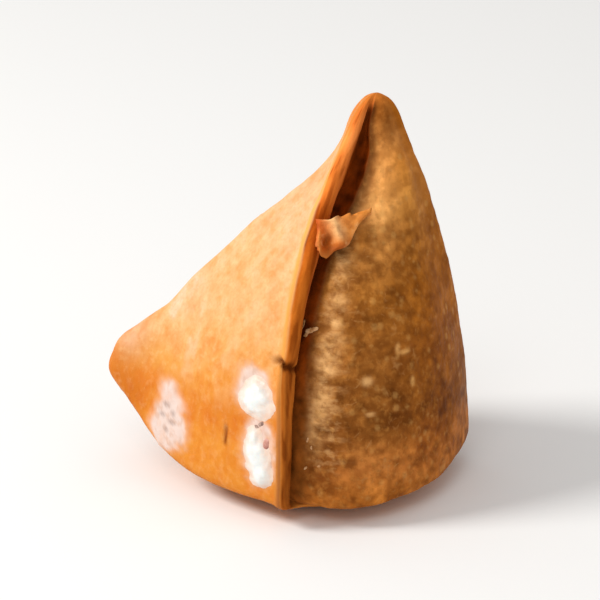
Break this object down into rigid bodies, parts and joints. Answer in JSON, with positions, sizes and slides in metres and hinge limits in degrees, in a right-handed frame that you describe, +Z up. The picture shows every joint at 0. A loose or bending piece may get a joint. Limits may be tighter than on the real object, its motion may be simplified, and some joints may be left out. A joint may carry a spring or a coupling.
{
  "type": "samosa",
  "caption": "Fried savoury pastry cone with an overlapping flap, pointed tip, two ears and a closed base, standing upright on a small flat spot.",
  "frame": {"origin": "bottom centre of the bounding box, on the plane the samosa rests on", "axes": "+Z up through the tip, +X to the right ear, -Y to the flap in front"},
  "size_m": [0.071, 0.0542, 0.079],
  "materials": {
    "fried_crust": "fried dough, satin, blistered"
  },
  "bodies": {
    "root": {"samosa": "fried_crust"}
  },
  "joints": []
}
